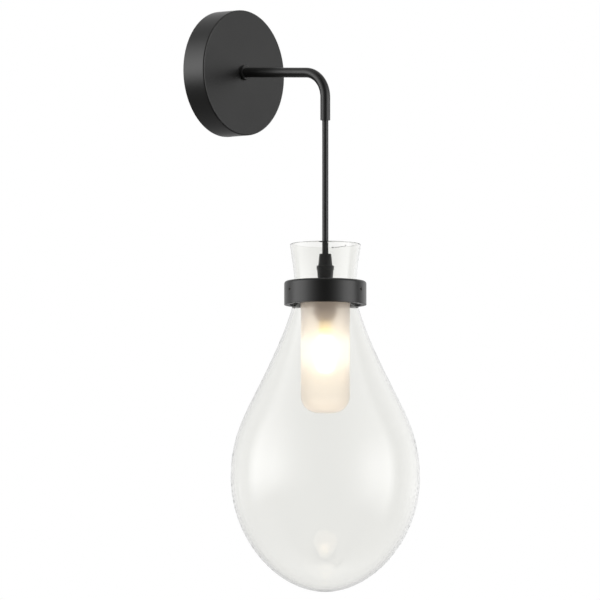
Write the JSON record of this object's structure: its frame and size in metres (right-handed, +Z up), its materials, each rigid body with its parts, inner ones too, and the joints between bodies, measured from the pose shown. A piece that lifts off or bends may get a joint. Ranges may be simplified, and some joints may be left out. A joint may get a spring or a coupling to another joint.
{
  "type": "wall sconce",
  "caption": "Wall light: round black canopy, bent tube arm and short cord carrying a clear drop-shaped glass shade with a black collar ring and a lit frosted inner tube.",
  "frame": {"origin": "on the wall, centre of the canopy's back and of the bracket's two wall screws, level with the arm's root", "axes": "+Z up, +Y into the wall, so the lamp stands out along -Y; +X to the right as seen from the room"},
  "size_m": [0.1808, 0.2174, 0.5647],
  "materials": {
    "black_powder_coat": "fine matt to satin powder coat, black",
    "blackened_screw": "blackened steel",
    "zinc_plated_steel": "bright zinc plate",
    "green_screw": "green earth screw",
    "brass": "plain brass",
    "cord_jacket": "black round flexible cord, matt sheath",
    "line_insulation": "wire insulation",
    "earth_insulation": "green wire insulation",
    "lead_insulation": "heat-proof sleeve",
    "connector_plastic": "moulded plastic",
    "bush_plastic": "moulded nylon",
    "black_silicone": "black silicone rubber",
    "clear_silicone": "translucent silicone rubber",
    "clear_glass": "clear blown glass",
    "frosted_glass": "acid-frosted glass",
    "lamp_glass": "clear glass",
    "ceramic": "glazed white steatite",
    "lamp_metal": "nickel wire"
  },
  "bodies": {
    "wall_side": {"wall_bracket": "zinc_plated_steel", "ground_screw": "green_screw", "ground_terminal": "brass", "ground_wire": "earth_insulation", "line_wires": "line_insulation", "wire_connectors": "connector_plastic", "canopy": "black_powder_coat", "canopy_screws": "blackened_screw", "arm_tube": "black_powder_coat", "arm_collar": "black_powder_coat", "arm_lock_washer": "zinc_plated_steel", "arm_lock_nut": "zinc_plated_steel", "arm_end_bush": "bush_plastic", "mouth_bush": "bush_plastic", "arm_cord": "cord_jacket"},
    "cord_knuckle": {"cord_bend": "cord_jacket"},
    "cord": {"pendant_cord": "cord_jacket"},
    "pendant": {"grip_nut": "black_powder_coat", "grip_sleeve": "black_silicone", "grip_body": "black_powder_coat", "nipple": "zinc_plated_steel", "nipple_nut": "zinc_plated_steel", "holder_cup": "black_powder_coat", "collar_ring": "black_powder_coat", "collar_screws": "blackened_screw", "screw_sleeves": "black_silicone", "neck_seat": "black_silicone", "glass_shade": "clear_glass", "frosted_tube": "frosted_glass", "tube_washer": "clear_silicone", "tube_retainer": "black_powder_coat", "holder_bracket": "zinc_plated_steel", "bracket_screws": "zinc_plated_steel", "lamp_holder": "ceramic", "lamp_contacts": "brass", "lamp_leads": "lead_insulation", "bulb_glass": "lamp_glass", "bulb_pins": "lamp_metal", "bulb_filament": "lamp_metal"}
  },
  "joints": [
    {"name": "swing_fore_aft", "type": "hinge", "parent": "wall_side", "child": "cord_knuckle", "pos_m": [0, -0.127, -0.0505], "axis": [1, 0, 0], "range_deg": [-15, 5.5]},
    {"name": "swing_sideways", "type": "hinge", "parent": "cord_knuckle", "child": "cord", "pos_m": [0, -0.127, -0.0505], "axis": [0, 1, 0], "range_deg": [-15, 15]},
    {"name": "pendant_twist", "type": "hinge", "parent": "cord", "child": "pendant", "pos_m": [0, -0.127, -0.1805], "axis": [0, 0, 1], "range_deg": [-45, 45], "stiffness_Nm_per_rad": 0.01}
  ]
}
